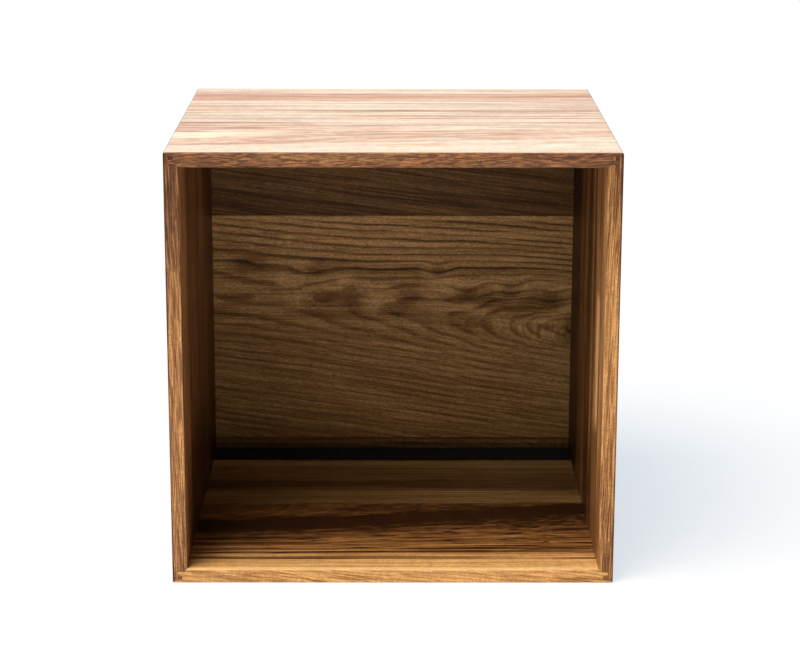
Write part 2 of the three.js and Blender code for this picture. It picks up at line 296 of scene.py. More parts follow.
HALF_WIDTH, HALF_DEPTH, HALF_HEIGHT = 178 * MM, 165.5 * MM, 176.25 * MM
OIL_SPECULAR = 0.12


def board_wood(
    name, lay, width, stops, run, look, edge=None, coat=0.03, marks=(), painted_inner_shade=0.0, painted_foot_shade=0.0
):
    """The finish of one case board. lay is how its own frame lies in the case, and width is where it
    starts and ends behind the front. edge says how its front edge differs: how far the fibres sway and
    slope there, how pale it is along its length, and its own colours, and it can add a painted highlight
    along the top of that edge. marks are streaks of another colour that run along part of the board. On a
    side board's inner face the tone is darkened with painted shade for the inside of the case, and with
    more painted shade towards the lower rear corner of that face. A thin painted shade line runs along
    the case's outer left and right corners."""
    material, tree, shader = new_finish(name)
    position = add_node(tree, "ShaderNodeTexCoord").outputs["Object"]
    place = add_node(tree, "ShaderNodeMapping", None, {"Vector": position, **lay}).outputs[0]
    along, behind, through = add_node(tree, "ShaderNodeSeparateXYZ", None, {0: place}).outputs
    if edge:
        on_edge = spread(tree, behind, 0.6 * MM, 1.4 * MM, 1.0, 0.0)
        sway = calc(tree, "SUBTRACT", streaks(tree, place, (9.0, 0.0, 14.0), 1.0), 0.5)
        sloped = calc(tree, "MULTIPLY", along, edge["slope"])
        slant = calc(tree, "MULTIPLY_ADD", sway, edge["sway"], sloped)
        slant = calc(tree, "MULTIPLY", slant, on_edge)
        lift = add_node(tree, "ShaderNodeCombineXYZ", None, {2: slant}).outputs[0]
        place = vector_calc(tree, "ADD", place, lift)
    run_inputs = {"Place": place, **run}
    grain = add_node(tree, "ShaderNodeGroup", {"node_tree": grain_run}, run_inputs).outputs
    across = add_node(tree, "ShaderNodeSeparateXYZ", None, {0: grain["Run"]}).outputs[1]
    tone, lines, _ = bands_across(tree, across, width[0], width[1], stops)
    across_case = add_node(tree, "ShaderNodeSeparateXYZ", None, {0: position}).outputs[0]
    from_side = calc(tree, "SUBTRACT", HALF_WIDTH, calc(tree, "ABSOLUTE", across_case))
    # painted shade: a side board's inner face is darkened for the shade inside the case, and darkened more
    # towards its lower rear corner
    if painted_inner_shade:
        low_down = spread(tree, along, -135 * MM, -45 * MM, painted_foot_shade, 0.0)
        foot_shade_weight = calc(tree, "MULTIPLY", low_down, spread(tree, behind, 34 * MM, 56 * MM))
        painted_shade_amount = calc(tree, "ADD", foot_shade_weight, painted_inner_shade)
        painted_shade_amount = calc(tree, "MULTIPLY", painted_shade_amount, spread(tree, from_side, 4 * MM, 8 * MM))
        tone = calc(tree, "SUBTRACT", tone, painted_shade_amount)
    inputs = {"Figure": grain["Figure"], "Tone": tone, "Lines": lines, **look}
    if edge:
        patches = calc(tree, "SUBTRACT", streaks(tree, place, (13.0, 0.0, 120.0), 1.0), 0.5)
        edge_tone, edge_lines, _ = bands_across(tree, along, *edge["reach"], edge["stops"])
        edge_tone = calc(tree, "MULTIPLY_ADD", patches, edge["patches"], edge_tone)
        inputs["Tone"] = blend(tree, on_edge, tone, edge_tone)
        inputs["Lines"] = blend(tree, on_edge, lines, edge_lines)
        edge_look = {"Fineness": 1.0, "Banding": 0.36, "Flecks": 0.26, **edge}
        for part in ("Fineness", "Banding", "Fibres", "Pores", "Flecks"):
            inputs[part] = blend(tree, on_edge, look[part], edge_look[part])
        shorter = blend(tree, on_edge, 1.0, 3.0)
        finer = blend(tree, on_edge, 1.0, 2.6)
        sizes = {0: shorter, 1: finer, 2: finer}
        closer = add_node(tree, "ShaderNodeCombineXYZ", None, sizes).outputs[0]
        inputs["Figure"] = vector_calc(tree, "MULTIPLY", grain["Figure"], closer)
        for part in ("Pale", "Brown", "Dark"):
            inputs[part] = mix_colors(tree, on_edge, look[part], edge[part])
    wood = add_node(tree, "ShaderNodeGroup", {"node_tree": hardwood}, inputs).outputs
    color = wood["Color"]
    for mark in marks:
        shown = mark_shown(tree, mark, across, along, grain["Figure"])
        if painted_inner_shade:
            shown = calc(tree, "MULTIPLY", shown, spread(tree, from_side, 5 * MM, 9 * MM))
        color = mix_colors(tree, shown, color, (*mark["color"], 1))
    # painted highlight: a pale orange band along the top of the floor's front edge, where the eased arris
    # catches the light
    if edge and "painted_highlight" in edge:
        painted_highlight = calc(tree, "MULTIPLY", spread(tree, through, 9.8 * MM, 11.2 * MM), edge["painted_highlight"])
        near_front = spread(tree, behind, 3 * MM, 4.5 * MM, 1.0, 0.0)
        painted_highlight = calc(tree, "MULTIPLY", painted_highlight, near_front)
        color = mix_colors(tree, painted_highlight, color, (1.0, 0.62, 0.26, 1))
    # painted shade: a thin darker line on the faces just in from the case's outer left and right corners,
    # where the rounded corners turn from the light
    darkened = spread(tree, from_side, 0.6 * MM, 1.8 * MM, 0.85, 0.0)
    on_face = spread(tree, from_side, 0.1 * MM, 0.2 * MM)
    painted_corner_shade = calc(tree, "MULTIPLY", darkened, on_face)
    color = mix_colors(tree, painted_corner_shade, color, (0.3, 0.24, 0.24, 1), "MULTIPLY")
    oil_wood(tree, shader, wood, color, 0.35, OIL_SPECULAR + coat)
    shader.inputs["Coat Weight"].default_value = coat
    shader.inputs["Coat Roughness"].default_value = 0.3
    return material


def finished_board(node, material):
    """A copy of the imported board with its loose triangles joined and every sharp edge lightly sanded."""
    shaped = bmesh.new()
    shaped.from_mesh(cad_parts[node].data)
    bmesh.ops.remove_doubles(shaped, verts=shaped.verts, dist=0.001 * MM)
    bmesh.ops.dissolve_limit(shaped, angle_limit=radians(1), verts=shaped.verts, edges=shaped.edges)
    for face in shaped.faces:
        face.smooth = True
    mesh = bpy.data.meshes.new(node + "_finished")
    shaped.to_mesh(mesh)
    shaped.free()
    if "custom_normal" in mesh.attributes:
        mesh.attributes.remove(mesh.attributes["custom_normal"])
    mesh.materials.clear()
    mesh.materials.append(material)
    board = add_object(node + "_finished", mesh)
    sanding = board.modifiers.new("sanded_edges", "BEVEL")
    sanding.width = 0.25 * MM
    sanding.segments = 2
    sanding.limit_method = "ANGLE"
    sanding.angle_limit = radians(40)
    evened = board.modifiers.new("flat_faces", "WEIGHTED_NORMAL")
    evened.keep_sharp = False
    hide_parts(node)
    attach(board, "root")


FRONT_BOARD, REAR_BOARD = (0, 163.5), (163.5, 331)
flat_lay = {"Location": (0.0, HALF_DEPTH, 0.0)}
bottom_front_wood = board_wood(
    "bottom_front_wood",
    flat_lay,
    FRONT_BOARD,
    [(0, 0.98, 0.2), (20, 0.92, 0.3), (22.5, 0.9, 0.4), (24.5, 0.36, 0.9), (27, 0.7, 0.6), (34, 0.74, 0.7),
     (37, 0.7, 0.8), (39.5, 0.3, 1.0), (44, 0.7, 0.9), (48, 0.2, 1.0), (51, 0.5, 1.0), (57, 0.56, 1.0),
     (61, 0.46, 1.0), (65, 0.2, 1.0), (69, 0.42, 1.0), (76, 0.32, 1.0), (81.5, 0.12, 1.0), (85, 0.32, 1.0),
     (88, 0.3, 1.0), (91, 0.14, 1.0), (98, 0.12, 1.0), (101, 0.02, 1.0), (106, 0.0, 1.0), (112, -0.12, 1.0),
     (117, -0.2, 1.0), (132, -0.2, 1.0), (134.5, -0.1, 1.0), (137, 0.1, 0.8), (142, 0.18, 0.6),
     (163.5, 0.26, 0.5)],
    {"Seed": 1.0, "Wander": 0.012, "Ripple": 0.0008, "Drift": -0.16, "Drift Line": 0.16, "Drift Reach": 0.14},
    {"Fineness": 1.4, "Banding": 0.36, "Fibres": 0.2, "Pores": 0.6, "Flecks": 0.12, "Line Width": 0.055,
     "Pale": (0.78, 0.42, 0.145, 1), "Brown": (0.34, 0.14, 0.036, 1), "Dark": (0.03, 0.009, 0.003, 1)},
    edge={
        # the floor's front edge gets a painted highlight along its top
        "sway": 0.006, "slope": 0.1, "patches": 0.4, "Fibres": 0.5, "Pores": 0.8, "painted_highlight": 0.45,
        "reach": (-178, 178),
        "stops": [(-178, 0.88, 0.4), (-100, 0.82, 0.4), (-30, 0.82, 0.4), (80, 0.94, 0.3),
                  (130, 0.8, 0.5), (178, 0.74, 0.5)],
        "Pale": (0.82, 0.44, 0.155, 1), "Brown": (0.46, 0.2, 0.055, 1), "Dark": (0.14, 0.052, 0.015, 1),
    },
)
bottom_rear_wood = board_wood(
    "bottom_rear_wood",
    flat_lay,
    REAR_BOARD,
    [(163.5, 0.36, 0.4), (172, 0.44, 0.4), (196, 0.46, 0.4), (203, 0.2, 0.7), (212, 0.08, 0.8),
     (224, 0.12, 0.8), (229, 0.36, 0.5), (236, 0.34, 0.5), (246, 0.34, 0.5), (252, 0.5, 0.4),
     (262, 0.5, 0.4), (268, 0.8, 0.2), (284, 0.85, 0.2), (289, 0.5, 0.4), (331, 0.46, 0.3)],
    {"Seed": 2.0, "Wander": 0.0015, "Ripple": 0.0002},
    {"Banding": 0.5, "Fibres": 0.16, "Pores": 0.5,
     "Pale": (0.54, 0.34, 0.15, 1), "Brown": (0.26, 0.14, 0.045, 1), "Dark": (0.05, 0.02, 0.006, 1)},
)
finished_board("bottom_front_board", bottom_front_wood)
finished_board("bottom_rear_board", bottom_rear_wood)


# ------------------------------------------------------------------------------ side panels
# Left and right: the same two-board make-up stood on end, so the grain runs up and down. The wood is a
# reddish brown with tan streaks. On its inner face, the right side has a pale streak with a dark one below
# it. The lock-mitre joints at both ends are glued.

# The inner faces of the side boards carry painted shade, deepest towards their lower rear corners.
upright_lay = {"Rotation": (0.0, radians(90), 0.0), "Location": (-HALF_HEIGHT, HALF_DEPTH, 0.0)}
right_front_wood = board_wood(
    "right_front_wood",
    upright_lay,
    FRONT_BOARD,
    [(0, 0.8, 0.6), (16, 1.0, 0.4), (26, 0.95, 0.5), (33, 0.8, 0.8), (38, 0.2, 0.9), (44, 0.7, 0.5),
     (60, 0.95, 0.5), (68, 1.0, 0.4), (76, 0.95, 0.8), (84, 0.84, 0.7), (91, 0.5, 1.0), (97, 0.6, 0.9),
     (104, 0.9, 0.6),
     (112, 0.95, 0.6), (119, 0.5, 0.9), (126, 0.5, 0.8), (134, 0.34, 0.8), (147, 0.36, 0.7), (155, 0.52, 0.5),
     (163.5, 0.55, 0.4)],
    {"Seed": 3.0, "Wander": 0.005, "Ripple": 0.0006},
    {"Fineness": 0.6, "Banding": 0.85, "Fibres": 0.3, "Pores": 0.55, "Flecks": 0.14, "Line Width": 0.05,
     "Pale": (0.78, 0.42, 0.18, 1), "Brown": (0.36, 0.15, 0.045, 1), "Dark": (0.06, 0.02, 0.006, 1)},
    edge={
        "sway": 0.003, "slope": 0.02, "patches": 0.5, "Fibres": 0.6, "Pores": 0.85, "reach": (-177, 177),
        "stops": [(-177, 0.42, 0.5), (-124, 0.58, 0.4), (-85, 0.68, 0.3), (-45, 0.8, 0.3), (-10, 0.84, 0.3),
                  (55, 0.9, 0.3), (95, 0.68, 0.4), (135, 0.48, 0.5), (177, 0.34, 0.5)],
        "Pale": (0.76, 0.38, 0.13, 1), "Brown": (0.38, 0.16, 0.052, 1), "Dark": (0.09, 0.032, 0.012, 1),
    },
    marks=[
        {"behind": 55, "half_width": 17, "reach": (-56, 49), "fade": (10, 6),
         "color": (1.0, 0.53, 0.21)},
        {"behind": 63, "half_width": 20, "reach": (-190, -66), "fade": (5, 8),
         "color": (0.26, 0.105, 0.03)},
    ],
    painted_inner_shade=0.1,
    painted_foot_shade=0.35,
)
left_front_wood = board_wood(
    "left_front_wood",
    upright_lay,
    FRONT_BOARD,
    [(0, 0.45, 0.6), (30, 0.45, 0.8), (80, 0.36, 0.7), (163.5, 0.3, 0.6)],
    {"Seed": 4.0, "Wander": 0.004, "Ripple": 0.0006},
    {"Fineness": 0.6, "Banding": 0.7, "Fibres": 0.3, "Pores": 0.55, "Flecks": 0.14, "Line Width": 0.05,
     "Pale": (0.72, 0.38, 0.17, 1), "Brown": (0.34, 0.14, 0.045, 1), "Dark": (0.06, 0.02, 0.007, 1)},
    edge={
        "sway": 0.003, "slope": -0.02, "patches": 0.5, "Fibres": 0.6, "Pores": 0.85, "reach": (-177, 177),
        "stops": [(-177, 0.5, 0.4), (-60, 0.7, 0.3), (20, 0.72, 0.3), (60, 0.62, 0.3), (95, 0.46, 0.4),
                  (130, 0.32, 0.4), (177, 0.36, 0.4)],
        "Pale": (0.7, 0.34, 0.12, 1), "Brown": (0.33, 0.14, 0.055, 1), "Dark": (0.09, 0.034, 0.017, 1),
    },
    painted_inner_shade=0.1,
    painted_foot_shade=0.3,
)
side_rear_look = {
    "Fineness": 0.6,
    "Banding": 0.6,
    "Fibres": 0.25,
    "Line Width": 0.05,
    "Pale": (0.66, 0.34, 0.13, 1),
    "Brown": (0.3, 0.12, 0.033, 1),
    "Dark": (0.04, 0.013, 0.004, 1),
}
# The right rear board's paleness falls towards the rear of the case. This is partly the wood's own tone and
# partly painted shade of the bay's dark rear corner.
right_rear_wood = board_wood(
    "right_rear_wood",
    upright_lay,
    REAR_BOARD,
    [(163.5, 0.7, 0.4), (170, 0.6, 0.5), (176, 0.9, 0.4), (186, 0.62, 0.5), (196, 0.5, 0.6), (206, 0.78, 0.4),
     (216, 0.75, 0.5), (226, 0.6, 0.6), (240, 0.5, 0.6), (250, 0.2, 0.7), (266, 0.12, 0.7), (282, 0.2, 0.7),
     (290, 0.45, 0.5), (298, 0.15, 0.8), (331, 0.1, 0.8)],
    {"Seed": 5.0, "Wander": 0.003, "Ripple": 0.0004},
    side_rear_look,
    painted_inner_shade=0.3,
    painted_foot_shade=0.15,
)
left_rear_wood = board_wood(
    "left_rear_wood",
    upright_lay,
    REAR_BOARD,
    [(163.5, 0.6, 0.4), (240, 0.5, 0.5), (331, 0.45, 0.5)],
    {"Seed": 6.0, "Wander": 0.003, "Ripple": 0.0004},
    side_rear_look,
    painted_inner_shade=0.3,
    painted_foot_shade=0.15,
)
finished_board("left_side_front_board", left_front_wood)
finished_board("left_side_rear_board", left_rear_wood)
finished_board("right_side_front_board", right_front_wood)
finished_board("right_side_rear_board", right_rear_wood)


# ------------------------------------------------------------------------------ top panel
# The most figured boards of the stand: pale cream and rose bands with thin brown lines from side to side
# and a brown front edge. The oil is burnished here, so the light from behind gives the top a pale sheen.

BURNISHED_COAT = 0.25
top_look = {
    "Fineness": 1.0,
    "Banding": 0.6,
    "Fibres": 0.2,
    "Pores": 0.4,
    "Flecks": 0.08,
    "Blush": 0.42,
    "Line Width": 0.05,
    # These face colours are partly painted light: the cream and rose are far paler than the same wood at its
    # front edge, for the strongly lit top.
    "Pale": (0.92, 0.82, 0.61, 1),
    "Brown": (0.76, 0.42, 0.24, 1),
    "Dark": (0.36, 0.11, 0.035, 1),
}
top_front_wood = board_wood(
    "top_front_wood",
    flat_lay,
    FRONT_BOARD,
    [(0, 1.0, 0.12), (46, 1.0, 0.12), (52, 0.56, 0.8), (58, 0.76, 0.6), (98, 0.72, 0.7), (116, 0.8, 0.6),
     (122, 0.66, 0.9), (143, 0.64, 0.9), (147, 1.0, 0.3), (160, 0.98, 0.3), (163.5, 0.3, 0.8)],
    {"Seed": 7.0, "Wander": 0.003, "Ripple": 0.0002, "Drift": -0.1, "Drift Line": 0.04, "Drift Reach": 0.12},
    top_look,
    edge={
        "sway": 0.014, "slope": 0.05, "patches": 0.4, "Fibres": 0.6, "Pores": 0.9, "reach": (-178, 178),
        "stops": [(-178, 0.46, 0.5), (-100, 0.46, 0.4), (20, 0.52, 0.4), (110, 0.44, 0.4), (178, 0.27, 0.5)],
        "Pale": (0.54, 0.26, 0.09, 1), "Brown": (0.28, 0.115, 0.038, 1), "Dark": (0.09, 0.032, 0.013, 1),
    },
    coat=BURNISHED_COAT,
    marks=[
        {"behind": 94, "half_width": 15, "reach": (-260, -100), "fade": (10, 45),
         "color": (0.96, 0.84, 0.58)},
    ],
)
top_rear_wood = board_wood(
    "top_rear_wood",
    flat_lay,
    REAR_BOARD,
    [(163.5, 0.6, 0.8), (172, 0.85, 0.9), (200, 0.85, 0.8), (207, 0.4, 1.0), (212, 0.85, 0.7),
     (255, 0.9, 0.6), (262, 0.5, 1.0), (298, 0.45, 1.0), (304, 0.85, 0.6), (331, 0.75, 0.6)],
    {"Seed": 8.0, "Wander": 0.005, "Ripple": 0.0005},
    top_look,
    coat=BURNISHED_COAT,
)
finished_board("top_front_board", top_front_wood)
finished_board("top_rear_board", top_rear_wood)


# ------------------------------------------------------------------------------ back boards
# Three level boards, shiplapped to each other and set in the rebate round the rear of the case. The upper
# one is plain and dark. The middle one is flat-sawn: level growth rings at its top, an arch that opens to
# the right round four small knots, and rings that slope down to the right below it.

def growth_rings_group():
    """The dark late wood of a flat-sawn board's growth rings: contours of the distance from its heart
    line, which close in arches round Arch End. Cloud is the blotchy light and dark wood at the heart."""
    tree, given, result = shader_group(
        "growth_rings",
        {
            "Place": ("Vector", None),
            "Heart": ("Float", 0.15),
            "Slope": ("Float", -0.09),
            "Arch End": ("Float", 0.175),
            "Arch Spread": ("Float", 0.3),
            "Arch Height": ("Float", 0.06),
            "Wobble": ("Float", 0.008),
            "Swirl": ("Float", 0.0),
            "Ring": ("Float", 0.0056),
            "Seed": ("Float", 0.0),
        },
        {"Late Wood": "Float", "Cloud": "Float"},
    )
    shift = vector_calc(tree, "MULTIPLY", (3.1, 1.7, 2.3), given["Seed"])
    seeded = vector_calc(tree, "ADD", given["Place"], shift)
    along, up, _ = add_node(tree, "ShaderNodeSeparateXYZ", None, {0: given["Place"]}).outputs
    heart = calc(tree, "MULTIPLY_ADD", along, given["Slope"], given["Heart"])
    above = calc(tree, "SUBTRACT", up, heart)
    from_end = calc(tree, "MAXIMUM", calc(tree, "SUBTRACT", given["Arch End"], along), 0.0)
    reach = calc(tree, "MULTIPLY", from_end, given["Arch Spread"])
    reach = calc(tree, "DIVIDE", reach, given["Arch Height"])
    arch = calc(tree, "MULTIPLY", calc(tree, "TANH", reach), given["Arch Height"])
    squares = calc(tree, "ADD", calc(tree, "MULTIPLY", above, above), calc(tree, "MULTIPLY", arch, arch))
    distance = calc(tree, "SQRT", squares)
    from_cloud = calc(tree, "ABSOLUTE", calc(tree, "SUBTRACT", above, 12 * MM))
    near_heart = spread(tree, from_cloud, 12 * MM, 36 * MM, 1.0, 0.0)
    swirl = calc(tree, "SUBTRACT", streaks(tree, seeded, (14.0, 24.0, 0.0), 1.0), 0.5)
    swirl_size = calc(tree, "MULTIPLY", near_heart, given["Swirl"])
    distance = calc(tree, "MULTIPLY_ADD", swirl, swirl_size, distance)
    wobbles = [((9.0, 22.0, 0.0), 1.0), ((28.0, 60.0, 0.0), 0.3), ((70.0, 190.0, 0.0), 0.12)]
    for per_metre, share in wobbles:
        wobble = calc(tree, "SUBTRACT", streaks(tree, seeded, per_metre, 1.0), 0.5)
        size = calc(tree, "MULTIPLY", given["Wobble"], share)
        distance = calc(tree, "MULTIPLY_ADD", wobble, size, distance)
    phase = calc(tree, "FRACT", calc(tree, "DIVIDE", distance, given["Ring"]))
    rise = spread(tree, phase, 0.4, 0.8)
    fall = spread(tree, phase, 0.84, 0.98, 1.0, 0.0)
    uneven = spread(tree, streaks(tree, seeded, (7.0, 130.0, 0.0), 2.0), 0.36, 0.62, 0.5, 1.15)
    late_wood = calc(tree, "MULTIPLY", calc(tree, "MULTIPLY", rise, fall), uneven)
    tree.links.new(late_wood, result["Late Wood"])
    cloud = spread(tree, streaks(tree, seeded, (17.0, 36.0, 0.0), 2.0), 0.36, 0.64, -1.0, 1.0)
    tree.links.new(calc(tree, "MULTIPLY", cloud, near_heart), result["Cloud"])
    return tree


growth_rings = growth_rings_group()
back_lay = {"Rotation": (radians(-90), 0.0, 0.0), "Location": (0.0, 0.0, HALF_DEPTH)}


def back_wood(name, heights, stops, knots, rings, look, lean_below=0, clouds=0.0):
    """The finish of one back board, with growth rings and (along, up, size) knots, in millimetres. Below
    lean_below the fibres run down to the right."""
    material, tree, shader = new_finish(name)
    position = add_node(tree, "ShaderNodeTexCoord").outputs["Object"]
    turned = add_node(tree, "ShaderNodeMapping", None, {"Vector": position, **back_lay}).outputs[0]
    along_board, up, _ = add_node(tree, "ShaderNodeSeparateXYZ", None, {0: turned}).outputs
    tone, lines, rings_shown = bands_across(tree, up, heights[0], heights[1], stops)
    lean = spread(tree, up, lean_below * MM, (lean_below + 25) * MM, 0.13, 0.0)
    place = turned
    for along, height, size in knots:
        centred = vector_calc(tree, "SUBTRACT", turned, (along * MM, height * MM, 0.0))
        squashed = vector_calc(tree, "MULTIPLY", centred, (0.7 / (size * MM), 1 / (size * MM), 0.0))
        length = add_node(tree, "ShaderNodeVectorMath", {"operation": "LENGTH"}, {0: squashed})
        reach = length.outputs["Value"]
        bulge = spread(tree, reach, 0.0, 2.6, 0.8 * size * MM, 0.0)
        pushed = add_node(tree, "ShaderNodeCombineXYZ", None, {1: bulge}).outputs[0]
        place = vector_calc(tree, "ADD", place, pushed)
        tone = calc(tree, "SUBTRACT", tone, spread(tree, reach, 0.2, 1.2, 0.34, 0.0))
    ring_inputs = {"Place": place, **rings}
    ringed = add_node(tree, "ShaderNodeGroup", {"node_tree": growth_rings}, ring_inputs).outputs
    ring_tone = calc(tree, "MULTIPLY", ringed["Late Wood"], rings_shown)
    tone = calc(tree, "MULTIPLY_ADD", ring_tone, -1.0, tone)
    tone = calc(tree, "MULTIPLY_ADD", ringed["Cloud"], clouds, tone)
    drop = calc(tree, "MULTIPLY", along_board, lean)
    leaning = add_node(tree, "ShaderNodeCombineXYZ", None, {1: drop}).outputs[0]
    leaned = vector_calc(tree, "ADD", place, leaning)
    figure = vector_calc(tree, "ADD", leaned, (rings["Seed"], 0.0, 0.0))
    inputs = {"Figure": figure, "Tone": tone, "Lines": lines, **look}
    wood = add_node(tree, "ShaderNodeGroup", {"node_tree": hardwood}, inputs).outputs
    oil_wood(tree, shader, wood, wood["Color"], 0.3, OIL_SPECULAR)
    return material


back_look = {
    "Banding": 0.34,
    "Fibres": 0.16,
    "Pores": 0.75,
    "Flecks": 0.2,
    "Pale": (0.76, 0.465, 0.185, 1),
    "Brown": (0.36, 0.185, 0.058, 1),
    "Dark": (0.1, 0.047, 0.016, 1),
}
back_upper_wood = back_wood(
    "back_upper_wood",
    (236, 347),
    [(236, 0.12, 0.1, 0.14), (270, 0.2, 0.1, 0.14), (346, 0.14, 0.1, 0.14)],
    [],
    {"Seed": 9.0, "Heart": 0.1, "Slope": -0.13, "Arch Spread": 0.0, "Ring": 0.012},
    back_look,
    lean_below=400,
)
back_middle_wood = back_wood(
    "back_middle_wood",
    (23, 237),
    [(23, 0.56, 0.1, 0.2), (60, 0.66, 0.1, 0.2), (100, 0.7, 0.1, 0.24), (130, 0.68, 0.1, 0.34),
     (160, 0.72, 0.1, 0.34), (178, 0.84, 0.1, 0.36), (186, 0.68, 0.1, 0.6), (192, 0.8, 0.1, 0.6),
     (230, 0.88, 0.1, 0.55), (237, 1.0, 0.0, 0.2)],
    [(69, 164, 9), (110, 165, 8), (147, 157, 8), (42, 184, 6)],
    {"Seed": 10.0, "Ring": 0.0055, "Arch Height": 0.05, "Wobble": 0.008, "Swirl": 0.018, "Slope": -0.12},
    back_look,
    lean_below=115,
    clouds=0.24,
)
back_lower_wood = back_wood(
    "back_lower_wood",
    (6, 29),
    [(6, 0.1, 0.2, 0.1), (17, 0.1, 0.2, 0.1), (19.5, 0.4, 0.0, 0.0), (22, 0.2, 0.2, 0.1),
     (29, 0.14, 0.2, 0.1)],
    [],
    {"Seed": 11.0, "Heart": -0.05, "Slope": 0.0, "Arch Spread": 0.0, "Ring": 0.007},
    back_look,
)
finished_board("back_board_upper", back_upper_wood)
finished_board("back_board_middle", back_middle_wood)
finished_board("back_board_lower", back_lower_wood)


# ------------------------------------------------------------------------------ panel pins
# Eighteen bright steel pins, 26 mm long, drawn from 1.4 mm wire with a small flat head, grip rings below
# it and a tapered point. They are driven from behind through the back boards, into the rebate's floor.

PIN_NODES = [f"back_pin_{number:02d}" for number in range(1, 19)]


def grow_node(tree, kind, settings=None, **inputs):
    """A geometry node whose inputs are given by name, with underscores for spaces."""
    node = tree.nodes.new(kind)
    for name, value in (settings or {}).items():
        setattr(node, name, value)
    for name, value in inputs.items():
        socket = node.inputs[name.replace("_", " ")]
        if isinstance(value, bpy.types.NodeSocket):
            tree.links.new(value, socket)
        else:
            socket.default_value = value
    return node


def geometry_tree(name, inputs):
    tree = bpy.data.node_groups.new(name, "GeometryNodeTree")
    tree.interface.new_socket("Geometry", in_out="INPUT", socket_type="NodeSocketGeometry")
    keys = {}
    for socket, (kind, value) in inputs.items():
        made = tree.interface.new_socket(socket, in_out="INPUT", socket_type="NodeSocket" + kind)
        if not isinstance(value, bpy.types.Material):
            made.default_value = value
        keys[socket] = (made.identifier, value)
    tree.interface.new_socket("Geometry", in_out="OUTPUT", socket_type="NodeSocketGeometry")
    return tree, tree.nodes.new("NodeGroupInput").outputs, tree.nodes.new("NodeGroupOutput").inputs, keys


def grown_piece(name, seed_object, tree, keys):
    """Runs the tree on the seed object and keeps the result as a plain mesh."""
    grower = seed_object.modifiers.new(tree.name, "NODES")
    grower.node_group = tree
    for identifier, value in keys.values():
        grower[identifier] = value
    bpy.context.view_layer.update()
    evaluated = seed_object.evaluated_get(bpy.context.evaluated_depsgraph_get())
    mesh = bpy.data.meshes.new_from_object(evaluated)
    bpy.data.objects.remove(seed_object)
    mesh.name = name
    return add_object(name, mesh)


def random_turn(tree, seed):
    """A random angle, up to a full turn, for each point."""
    turn = grow_node(tree, "FunctionNodeRandomValue", {"data_type": "FLOAT"}, Seed=seed)
    for socket in turn.inputs:
        if socket.name == "Max" and socket.enabled:
            socket.default_value = tau
    return [socket for socket in turn.outputs if socket.enabled][0]


def finish_tree(tree, result, geometry, material):
    real = grow_node(tree, "GeometryNodeRealizeInstances", Geometry=geometry).outputs[0]
    painted = grow_node(tree, "GeometryNodeSetMaterial", Geometry=real, Material=material).outputs[0]
    tree.links.new(painted, result["Geometry"])


pin_steel, steel_tree, steel = new_finish("bright_pin_steel")
steel_place = add_node(steel_tree, "ShaderNodeTexCoord").outputs["Object"]
drawing_marks = streaks(steel_tree, steel_place, (2600.0, 90.0, 2600.0))
tarnish = spread(steel_tree, streaks(steel_tree, steel_place, (420.0, 260.0, 420.0)), 0.42, 0.66)
steel_color = mix_colors(steel_tree, tarnish, (0.6, 0.58, 0.55, 1), (0.34, 0.31, 0.28, 1))
steel_tree.links.new(steel_color, steel.inputs["Base Color"])
dullness = calc(steel_tree, "MULTIPLY_ADD", tarnish, 0.15, 0.18)
dullness = calc(steel_tree, "MULTIPLY_ADD", drawing_marks, 0.3, dullness)
steel_tree.links.new(dullness, steel.inputs["Roughness"])
add_relief(steel_tree, steel, drawing_marks, 0.3, 0.05 * MM)
steel.inputs["Metallic"].default_value = 1.0

tree, given, result, keys = geometry_tree(
    "panel_pin_tree",
    {
        "Length": ("Float", 26.0 * MM),
        "Wire Radius": ("Float", 0.7 * MM),
        "Head Radius": ("Float", 1.3 * MM),
        "Head Height": ("Float", 0.8 * MM),
        "Point Length": ("Float", 3.0 * MM),
        "Ring Pitch": ("Float", 1.0 * MM),
        "Ring Depth": ("Float", 0.03 * MM),
        "Ringed Length": ("Float", 6.0 * MM),
        "Head Chamfer": ("Float", 0.15 * MM),
        "Seed": ("Int", 4),
        "Steel": ("Material", pin_steel),
    },
)
points = grow_node(tree, "GeometryNodeMeshToPoints", Mesh=given["Geometry"]).outputs[0]
to_point = calc(tree, "MULTIPLY", given["Length"], -1.0)
tip = grow_node(tree, "ShaderNodeCombineXYZ", Y=to_point).outputs[0]
wire = grow_node(tree, "GeometryNodeCurvePrimitiveLine", End=tip).outputs[0]
wire = grow_node(tree, "GeometryNodeResampleCurve", Curve=wire, Count=105).outputs[0]
drawn = grow_node(tree, "GeometryNodeSplineParameter").outputs["Length"]
to_tip = calc(tree, "SUBTRACT", given["Length"], drawn)
sharpened = calc(tree, "DIVIDE", to_tip, given["Point Length"], clamp=True)
sharpened = calc(tree, "MULTIPLY_ADD", sharpened, 0.95, 0.05)
ring = calc(tree, "DIVIDE", calc(tree, "MULTIPLY", drawn, tau), given["Ring Pitch"])
groove = calc(tree, "SUBTRACT", calc(tree, "SINE", ring), 1.0)
ringed = calc(tree, "LESS_THAN", drawn, given["Ringed Length"])
grip = calc(tree, "MULTIPLY", calc(tree, "MULTIPLY", groove, ringed), given["Ring Depth"])
shank = calc(tree, "ADD", calc(tree, "MULTIPLY", given["Wire Radius"], sharpened), grip)
in_head = calc(tree, "LESS_THAN", drawn, given["Head Height"])
at_top = calc(tree, "LESS_THAN", drawn, 0.1 * MM)
chamfer = calc(tree, "MULTIPLY", at_top, given["Head Chamfer"])
head = calc(tree, "SUBTRACT", given["Head Radius"], chamfer)
width = blend(tree, in_head, shank, head)
section = grow_node(tree, "GeometryNodeCurvePrimitiveCircle", Resolution=12, Radius=1.0).outputs[0]
pin = grow_node(
    tree, "GeometryNodeCurveToMesh", Curve=wire, Profile_Curve=section, Scale=width, Fill_Caps=True
).outputs[0]
